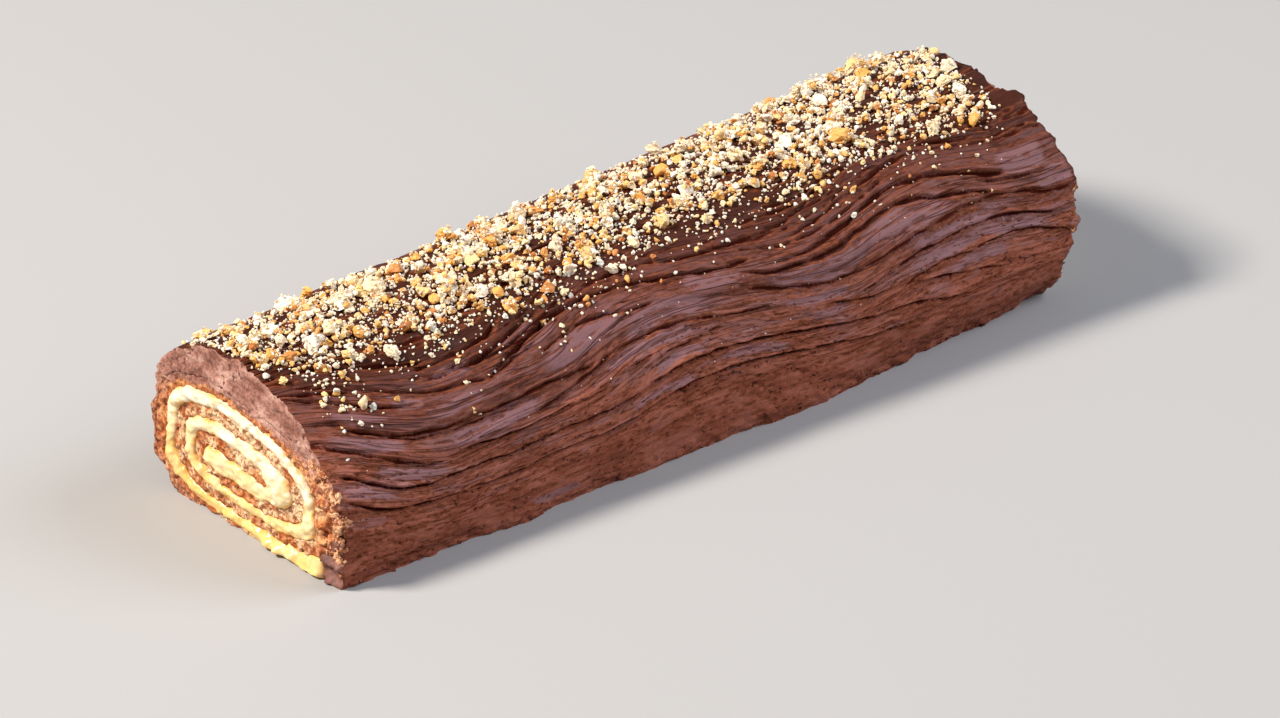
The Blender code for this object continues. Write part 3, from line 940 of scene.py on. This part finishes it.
def build_nuts(surface):
    """Chopped nuts along the top: a few large lumps, many chips, and fine dust."""
    rng, lump_rng = map(np.random.default_rng, NUT_SEEDS)
    large = lump_shapes(lump_rng, 24, 3, 7, 0.24)
    small = lump_shapes(lump_rng, 30, 2, 4, 0.28)
    dust = lump_shapes(lump_rng, 14, 1, 2, 0.2)
    chunks, chips = ([[], [], []] for _ in range(2))
    for kinds, count, spread, sizes, bias, (shapes, _), tilt, chances in (
            (chunks, CHUNKS, CHUNK_SPREAD, CHUNK_SIZES, 1.8, large, 0.35, (0.52, 0.39, 0.09)),
            (chips, CHIPS, CHIP_SPREAD, CHIP_SIZES, 1.5, small, 0.5, (0.57, 0.34, 0.09))):
        places = scattered_places(rng, count, spread, 0.35)
        for lump in strewn(rng, surface, places, sizes, bias, shapes, tilt, 0.05):
            kinds[rng.choice(3, p=chances)].append(lump)
    for x, away, size, kind in SINGLE_NUTS:
        chunks[kind] += strewn(rng, surface, [(x, away)], (size, size), 1, large[0], 0.15, 0.12)
    for kind, (name, pale, deep, rough) in enumerate(NUT_KINDS):
        material = nut(name, pale, deep, rough)
        declare(joined_lumps(name + "_chunks", *large, chunks[kind], material))
        declare(joined_lumps(name + "_chips", *small, chips[kind], material))
    places = scattered_places(rng, DUST, DUST_SPREAD, 0.45)
    lumps = strewn(rng, surface, places, DUST_SIZES, 2, dust[0], 0.8, 0)
    material = nut("nut_dust", (0.95, 0.9, 0.8), (0.89, 0.68, 0.46), 0.7)
    declare(joined_lumps("nut_dust", *dust, lumps, material))


def build_crumbs(surface):
    """Crumbs at the torn front edge of the cut faces and along the foot."""
    rng = np.random.default_rng(CRUMB_SEED)
    large = lump_shapes(rng, 24, 3, 4, 0.5)
    small = lump_shapes(rng, 24, 2, 3, 0.4)
    torn = []
    axes = np.eye(3)
    for end in (-1, 1):
        rim = surface.grid[0 if end < 0 else -1, BACK_LINES:]
        places = [(rng.uniform(8, 38), 1.4 + 4 * rng.uniform() ** 1.5, 1.3 + 6.2 * rng.uniform() ** 1.4)
                  for _ in range(CUT_CRUMBS)]
        places += [(height, size, 0.5 * size) for height, size in RIM_CRUMBS]
        for height, size, inset in places:
            at = rim[np.argmin(np.abs(rim[:, 2] - ROLL_AT_END[end][2] * height))]
            middle = np.array((at[0] - end * 0.2 * size, at[1] - inset, at[2]))
            turn = turned(rng, axes[1], axes[2], axes[0] * end, 0.7)
            torn.append((rng.integers(24), middle, turn, size / 2, (rng.uniform(), 0, 0)))
    low = []
    for x in rng.uniform(2 - END, END - 2, FOOT_CRUMBS):
        row = round((x + END) / LENGTH * (STATIONS - 1))
        away = surface.distance[row, -1] - 0.4 - 4 * rng.uniform() ** 1.8
        low += strewn(rng, surface, [(x, away)], (0.6, 1.9), 2.2, small[0], 0.8, 0.05)
    sponge = crumbs("sponge_crumbs", (0.84, 0.47, 0.26), (0.3, 0.08, 0.028))
    declare(joined_lumps("sponge_crumbs", *large, torn, sponge))
    frosting = crumbs("frosting_crumbs", (0.3, 0.09, 0.05), (0.05, 0.011, 0.005))
    declare(joined_lumps("frosting_crumbs", *small, low, frosting))


# ---- materials

class Value:
    """What a node gives: a number, colour or vector that can be reckoned with."""

    def __init__(self, socket):
        self.socket = socket

    def node(self, kind, inputs, output=0, **settings):
        """What another node in the same tree gives."""
        return add_node(self.socket.id_data, kind, inputs, output, **settings)

    def math(self, operation, *others):
        """Arithmetic on this number and others."""
        return self.node("ShaderNodeMath", dict(enumerate((self, *others))), operation=operation)

    __add__ = partialmethod(math, "ADD")
    __sub__ = partialmethod(math, "SUBTRACT")
    __mul__ = partialmethod(math, "MULTIPLY")
    __truediv__ = partialmethod(math, "DIVIDE")
    __abs__ = partialmethod(math, "ABSOLUTE")

    def __rsub__(self, other):
        return self.node("ShaderNodeMath", {0: other, 1: self}, operation="SUBTRACT")

    def axes(self):
        """The three parts of this vector."""
        first = self.node("ShaderNodeSeparateXYZ", {"Vector": self})
        return [Value(socket) for socket in first.socket.node.outputs]

    def scaled(self, *scale):
        """This vector with each axis multiplied."""
        return self.node("ShaderNodeVectorMath", {0: self, 1: scale}, operation="MULTIPLY")

    def grain(self, scale, detail, roughness):
        """Noise from 0 to 1 over this vector."""
        inputs = {"Vector": self, "Scale": scale, "Detail": detail, "Roughness": roughness}
        return self.node("ShaderNodeTexNoise", inputs)

    def ramp(self, *stops):
        """Colours or greys by this number: each stop is a place and a colour or a grey."""
        made = self.node("ShaderNodeValToRGB", {"Fac": self})
        band = made.socket.node.color_ramp.elements
        while len(band) < len(stops):
            band.new(0.5)
        for element, (place, colour) in zip(band, stops):
            element.position = place
            element.color = (*(colour if isinstance(colour, tuple) else (colour,) * 3), 1)
        return made

    def mix(self, one, other, blend="MIX"):
        """Two colours mixed by this share."""
        inputs = {0: self, 6: one, 7: other}
        return self.node("ShaderNodeMix", inputs, 2, data_type="RGBA", blend_type=blend)


def fill(socket, value):
    """A link or a fixed value into a socket: a colour is given its alpha."""
    if isinstance(value, Value):
        socket.id_data.links.new(value.socket, socket)
    elif isinstance(value, tuple):
        socket.default_value = (*value, 1)[:len(socket.default_value)]
    else:
        socket.default_value = value


def add_node(tree, kind, inputs, output=0, **settings):
    """What a new node gives, with its settings and its inputs."""
    node = tree.nodes.new(kind)
    for key, value in settings.items():
        setattr(node, key, value)
    for key, value in inputs.items():
        fill(node.inputs[key], value)
    return Value(node.outputs[output])


class Looks:
    """A material."""

    def __init__(self, name):
        self.material = bpy.data.materials.new(name)
        self.material.use_nodes = True
        self.tree = self.material.node_tree

    def attribute(self, name):
        """A point attribute's vector."""
        return add_node(self.tree, "ShaderNodeAttribute", {}, "Vector", attribute_name=name)

    def place(self):
        """The place in the frame, in metres."""
        return add_node(self.tree, "ShaderNodeNewGeometry", {}, "Position")

    def finish(self, *bumps, **inputs):
        """Bumps as height, metres and strength, and the shader's sockets, _ for a space."""
        for height, distance, strength in bumps:
            sockets = {"Height": height, "Distance": distance, "Strength": strength}
            if "Normal" in inputs:
                sockets["Normal"] = inputs["Normal"]
            inputs["Normal"] = add_node(self.tree, "ShaderNodeBump", sockets)
        for key, value in inputs.items():
            fill(self.tree.nodes["Principled BSDF"].inputs[key.replace("_", " ")], value)
        return self.material


def cut_tone(place):
    """Colour of cut frosting, and the smears and fine grain that it comes from."""
    smear = place.scaled(1, 0.55, 1).grain(190, 4, 0.6)
    fine = place.grain(1100, 3, 0.65)
    tone = smear.ramp((0.35, (0.19, 0.064, 0.04)), (0.49, (0.39, 0.175, 0.128)), (0.62, (0.66, 0.38, 0.3)))
    tone = fine.ramp((0.36, 0.7), (0.48, 0)).mix(tone, (0.17, 0.055, 0.036))
    tone = fine.ramp((0.52, 0), (0.7, 0.5)).mix(tone, (0.52, 0.29, 0.225))
    pores = place.grain(620, 1, 0.4).ramp((0.6, 0), (0.67, 0.9))
    clear = place.grain(60, 2, 0.5).ramp((0.4, 1), (0.6, 0.15))
    return (pores * clear).mix(tone, (0.085, 0.02, 0.012)), smear, fine


def combed_frosting():
    """Chocolate frosting: smooth strips with a painted lavender reflection, between grainy reddish brown
    and grooves painted nearly black as shade.
    """
    looks = Looks("combed_frosting")
    comb = looks.attribute("comb")
    inside, grainy, patch = looks.attribute("marks").axes()
    away = abs(comb.axes()[1])
    depth = away / FOOT_LINE

    def along(x, across, detail, roughness=0.6):
        return comb.scaled(x, across, across).grain(1, detail, roughness)

    sheen = along(0.05, 0.24, 4)
    hair = along(0.22, 2, 4, 0.7)
    mottle = along(0.36, 1.1, 4, 0.68)
    streaks = along(0.022, 0.55, 3)
    cloud = along(0.06, 0.16, 2, 0.5)
    low = depth.ramp((0.48, 0), (0.66, 1))
    upper = mottle.ramp((0.36, (0.069, 0.018, 0.011)), (0.5, (0.139, 0.044, 0.032)),
                        (0.64, (0.222, 0.083, 0.066)))
    below = mottle.ramp((0.36, (0.21, 0.05, 0.024)), (0.5, (0.294, 0.082, 0.044)),
                        (0.64, (0.38, 0.124, 0.076)))
    brown = depth.ramp((0.46, 0), (0.62, 1)).mix(upper, below)
    brown = streaks.ramp((0.34, 0.55), (0.48, 0)).mix(brown, (0.085, 0.02, 0.009))
    brown = cloud.ramp((0.34, 0.45), (0.5, 0)).mix(brown, (0.13, 0.032, 0.016))
    lit = low.mix((0.28, 0.092, 0.06), (0.42, 0.145, 0.098))
    brown = cloud.ramp((0.5, 0), (0.62, 0.5)).mix(brown, lit)
    # lavender colours of the smooth strips: a painted reflection of a cool light
    upper = hair.ramp((0.35, (0.111, 0.037, 0.028)), (0.5, (0.177, 0.066, 0.055)),
                      (0.66, (0.24, 0.096, 0.085)))
    below = hair.ramp((0.35, (0.148, 0.045, 0.03)), (0.5, (0.266, 0.095, 0.074)),
                      (0.66, (0.372, 0.15, 0.124)))
    # where the smooth strips lie: less rough, and with the painted reflection colour
    plain = sheen - depth.ramp((0.64, 0), (0.9, 0.12)) - grainy * 0.09 + patch * 0.2
    smooth_with_painted_sheen = plain.ramp((0.46, 0), (0.52, 1))
    tone = smooth_with_painted_sheen.mix(brown, low.mix(upper, below))
    # nearly black near the ridge, among and under the nuts: painted shade
    tone = (away / 60).ramp((0.3, 0.88), (0.58, 0)).mix(tone, (0.042, 0.0095, 0.004))
    # lavender patches: painted reflection
    painted_reflection = (patch + mottle * 0.8).ramp((0.72, 0), (1, 0.85))
    tone = painted_reflection.mix(tone, low.mix((0.228, 0.106, 0.11), (0.285, 0.13, 0.128)))
    # a band low on the side lightened and cooled: painted bounce light from below
    painted_bounce_light = depth.ramp((0.5, 0), (0.57, 1), (0.78, 1), (0.86, 0))
    tone = painted_bounce_light.mix(tone, (1.14, 1.19, 1.25), "MULTIPLY")
    rust = mottle.ramp((0.38, (0.09, 0.02, 0.007)), (0.62, (0.27, 0.072, 0.026)))
    tone = inside.ramp((0.04, 0), (0.16, 0.8), (0.5, 0)).mix(tone, rust)
    # thin scratches, sunk by the bump below and painted dark: painted shade in them
    scratch = abs(along(0.016, 0.3, 2, 0.5) - 0.5).ramp((0, 0.75), (0.02, 0))
    scratch = scratch * depth.ramp((0.45, 1), (0.9, 0.15))
    tone = scratch.mix(tone, (0.055, 0.014, 0.007))
    # pits, sunk by the bump below and painted dark: painted shade in the hollows
    pits = along(0.5, 1, 1, 0.5).ramp((0.635, 0), (0.685, 0.9))
    pits = pits * depth.ramp((0.42, 0.1), (0.6, 1)) * cloud.ramp((0.4, 1), (0.58, 0.25))
    tone = pits.mix(tone, (0.04, 0.01, 0.005))
    # deep in grooves and pits the colour is painted nearly black: painted shade; the same mask makes them
    # rough
    torn = inside + (mottle + along(0.9, 0.28, 2) * 1.4 - 1.2) * 0.7
    tone = torn.ramp((0.4, 0), (0.66, 0.96)).mix(tone, (0.072, 0.0078, 0.0012))
    rough = smooth_with_painted_sheen.mix((0.62, 0.62, 0.62), mottle.ramp((0.3, 0.26), (0.7, 0.4)))
    rough = torn.ramp((0.2, 0), (0.5, 1)).mix(rough, (0.9, 0.9, 0.9))
    crumb = looks.place().grain(1500, 2, 0.6)
    hollow = 1 - pits.math("MAXIMUM", scratch)
    return looks.finish((hair, 0.00018, 1), (mottle, 0.00014, 0.8), (crumb, 0.00008, 0.6),
                        (hollow, 0.00045, 0.9), Base_Color=tone, Roughness=rough, Specular_IOR_Level=0.1)


def cut_frosting():
    """The same frosting where the knife went through: lighter, smeared, crumbly lower down."""
    looks = Looks("cut_frosting")
    place = looks.place()
    _, y, z = place.axes()
    tone, smear, fine = cut_tone(place)
    crumb = fine.ramp((0.38, (0.15, 0.038, 0.014)), (0.52, (0.38, 0.14, 0.065)),
                      (0.66, (0.62, 0.31, 0.175)))
    lower = ((z + smear * 0.022) * 10).ramp((0.44, 1), (0.52, 0))
    foot = (y * -20 + z * -16 + smear * 0.2).ramp((0.52, 0), (0.6, 0.85))
    tone = (lower - foot * lower).mix(tone, crumb)
    tone = foot.mix(tone, smear.ramp((0.35, (0.085, 0.026, 0.019)), (0.65, (0.19, 0.07, 0.055))))
    return looks.finish((smear, 0.0006, 0.7), (fine, 0.00022, 0.9),
                        Base_Color=tone, Roughness=0.55, Specular_IOR_Level=0.3)


def sponge_crumb():
    """Brown sponge: open crumb, smeared here and there with cream, frosting on its outside."""
    looks = Looks("sponge_crumb")
    skin, _, depth = looks.attribute("section").axes()
    place = looks.place()
    coarse = place.grain(420, 3, 0.65)
    patches = place.grain(120, 2, 0.5)
    coat, _, fine = cut_tone(place)
    tone = coarse.ramp((0.37, (0.23, 0.046, 0.011)), (0.49, (0.49, 0.152, 0.045)),
                       (0.62, (0.72, 0.345, 0.14)))
    inner = (skin / 10).ramp((0.4, 0.1), (0.7, 1))
    creamed = patches.ramp((0.42, 0), (0.58, 0.8)) * coarse.ramp((0.38, 0.15), (0.5, 1))
    tone = (creamed * inner).mix(tone, (0.9, 0.69, 0.42))
    tone = fine.ramp((0.41, 0.9), (0.47, 0)).mix(tone, (0.3, 0.064, 0.014))
    edge = (depth / 2).ramp((0.05, 0.8), (0.45, 0)) * patches.ramp((0.42, 1), (0.54, 0.1))
    tone = edge.mix(tone, (0.33, 0.075, 0.018))
    coated = ((skin + coarse * 3) / 10).ramp((0.32, 1), (0.46, 0))
    upper = (place.axes()[2] * 10).ramp((0.3, 0.15), (0.42, 1))
    tone = (coated * upper).mix(tone, coat)
    return looks.finish((coarse, 0.0005, 1), (fine, 0.00022, 0.9),
                        Base_Color=tone, Roughness=0.85, Specular_IOR_Level=0.25)


def cream():
    """Yellow cream: ivory where it is thick and deeper yellow at its edges; paler high up and deeper
    yellow low down as painted light from above.
    """
    looks = Looks("cream")
    depth = looks.attribute("section").axes()[2]
    place = looks.place()
    clouds = place.grain(170, 3, 0.5)
    fine = place.grain(900, 2, 0.5)
    _, y, z = place.axes()
    # paler higher up: painted light falling from above
    painted_top_light = (z - y * 0.15 + clouds * 0.04) * 10
    tone = painted_top_light.ramp((0.22, (0.88, 0.56, 0.17)), (0.37, (0.91, 0.71, 0.37)), (0.53, (0.94, 0.85, 0.66)))
    veins = place.scaled(1, 1, 1.6).grain(330, 3, 0.6)
    tone = veins.ramp((0.53, 0), (0.66, 0.8)).mix(tone, (0.88, 0.6, 0.26))
    edge = (depth / 2).ramp((0.1, 0.95), (0.65, 0)) * clouds.ramp((0.4, 1), (0.6, 0.35))
    tone = edge.mix(tone, (0.8, 0.43, 0.1))
    return looks.finish((clouds, 0.001, 0.7), (fine, 0.00014, 0.7),
                        Base_Color=tone, Roughness=0.3, Subsurface_Weight=0.35,
                        Subsurface_Radius=(0.003, 0.0018, 0.0007), Subsurface_Scale=1)


def nut(name, pale, deep, rough):
    """Chopped nut: mealy, mottled, a little see-through."""
    looks = Looks(name)
    own = looks.attribute("tint").axes()[0]
    place = looks.place()
    mottle = place.grain(520, 3, 0.6)
    fine = place.grain(1800, 2, 0.6)
    tone = (mottle * 0.55 + own * 0.75).ramp((0.35, 0), (0.85, 1)).mix(pale, deep)
    tone = mottle.ramp((0.34, 0.55), (0.48, 0)).mix(tone, (0.72, 0.36, 0.12))
    return looks.finish((mottle, 0.0006, 0.8), (fine, 0.00024, 0.9),
                        Base_Color=tone, Roughness=rough, Subsurface_Weight=0.18,
                        Subsurface_Radius=(0.0016, 0.0011, 0.0006), Subsurface_Scale=1)


def crumbs(name, pale, deep):
    """Crumbs of sponge or frosting."""
    looks = Looks(name)
    own = looks.attribute("tint").axes()[0]
    mottle = looks.place().grain(700, 3, 0.65)
    tone = (mottle * 1.1 + own * 0.3).ramp((0.52, 0), (0.84, 1)).mix(deep, pale)
    return looks.finish((mottle, 0.0004, 0.9), Base_Color=tone, Roughness=0.85, Specular_IOR_Level=0.25)


# ---- build

sponge_outline = sponge_section()
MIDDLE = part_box("sponge")[1].y / MM + sponge_outline[:, 0].min()  # Y where across is 0

coat_piece, coat_grid, ridge_distance = build_frosting(combed_frosting(), cut_frosting())
declare(coat_piece, "frosting")
sponge_piece = cut_layer("sponge_roll", sponge_outline, sponge_cut, SPONGE_CUT_GRAIN, sponge_crumb())
declare(sponge_piece, "sponge")
cream_piece = cut_layer("cream_roll", cream_section(), cream_cut, CREAM_CUT_GRAIN, cream())
declare(cream_piece, "cream_filling")
coat_surface = Surface(coat_grid, ridge_distance)
build_nuts(coat_surface)
build_crumbs(coat_surface)


# ---- floor, lights, camera

corners = np.array(((-1, -1, 0), (1, -1, 0), (1, 1, 0), (-1, 1, 0))) * FLOOR_REACH
floor_material = Looks("floor").finish(Base_Color=FLOOR_COLOUR, Roughness=0.9)
new_piece("floor", corners, [(0, 1, 2, 3)], [floor_material])

for light_name, light_place, size, power, colour in LIGHTS:
    light = bpy.data.lights.new(light_name, "AREA")
    light.size = size
    light.energy = power
    light.color = colour
    item = linked(light_name, light)
    item.location = light_place
    item.rotation_euler = (Vector(LIGHTS_AIM) - item.location).to_track_quat("-Z", "Y").to_euler()

world = bpy.data.worlds.new("studio")
world.use_nodes = True
background = world.node_tree.nodes["Background"].inputs
background["Color"].default_value = WORLD_COLOUR
background["Strength"].default_value = WORLD_STRENGTH
bpy.context.scene.world = world

camera = bpy.data.cameras.new("camera")
camera.lens = CAMERA_LENS
camera.sensor_width = CAMERA_SENSOR
camera_item = linked("camera", camera)
camera_item.matrix_world = (
    Matrix.Translation((CAMERA_AIM[0], CAMERA_AIM[1] + MIDDLE * MM, 0))
    @ Matrix.Rotation(CAMERA_AZIMUTH, 4, "Z") @ Matrix.Rotation(math.pi / 2 - CAMERA_ELEVATION, 4, "X")
    @ Matrix.Rotation(CAMERA_ROLL, 4, "Z") @ Matrix.Translation((0, 0, CAMERA_DISTANCE)))
bpy.context.scene.camera = camera_item
bpy.context.scene.view_settings.view_transform = "Standard"
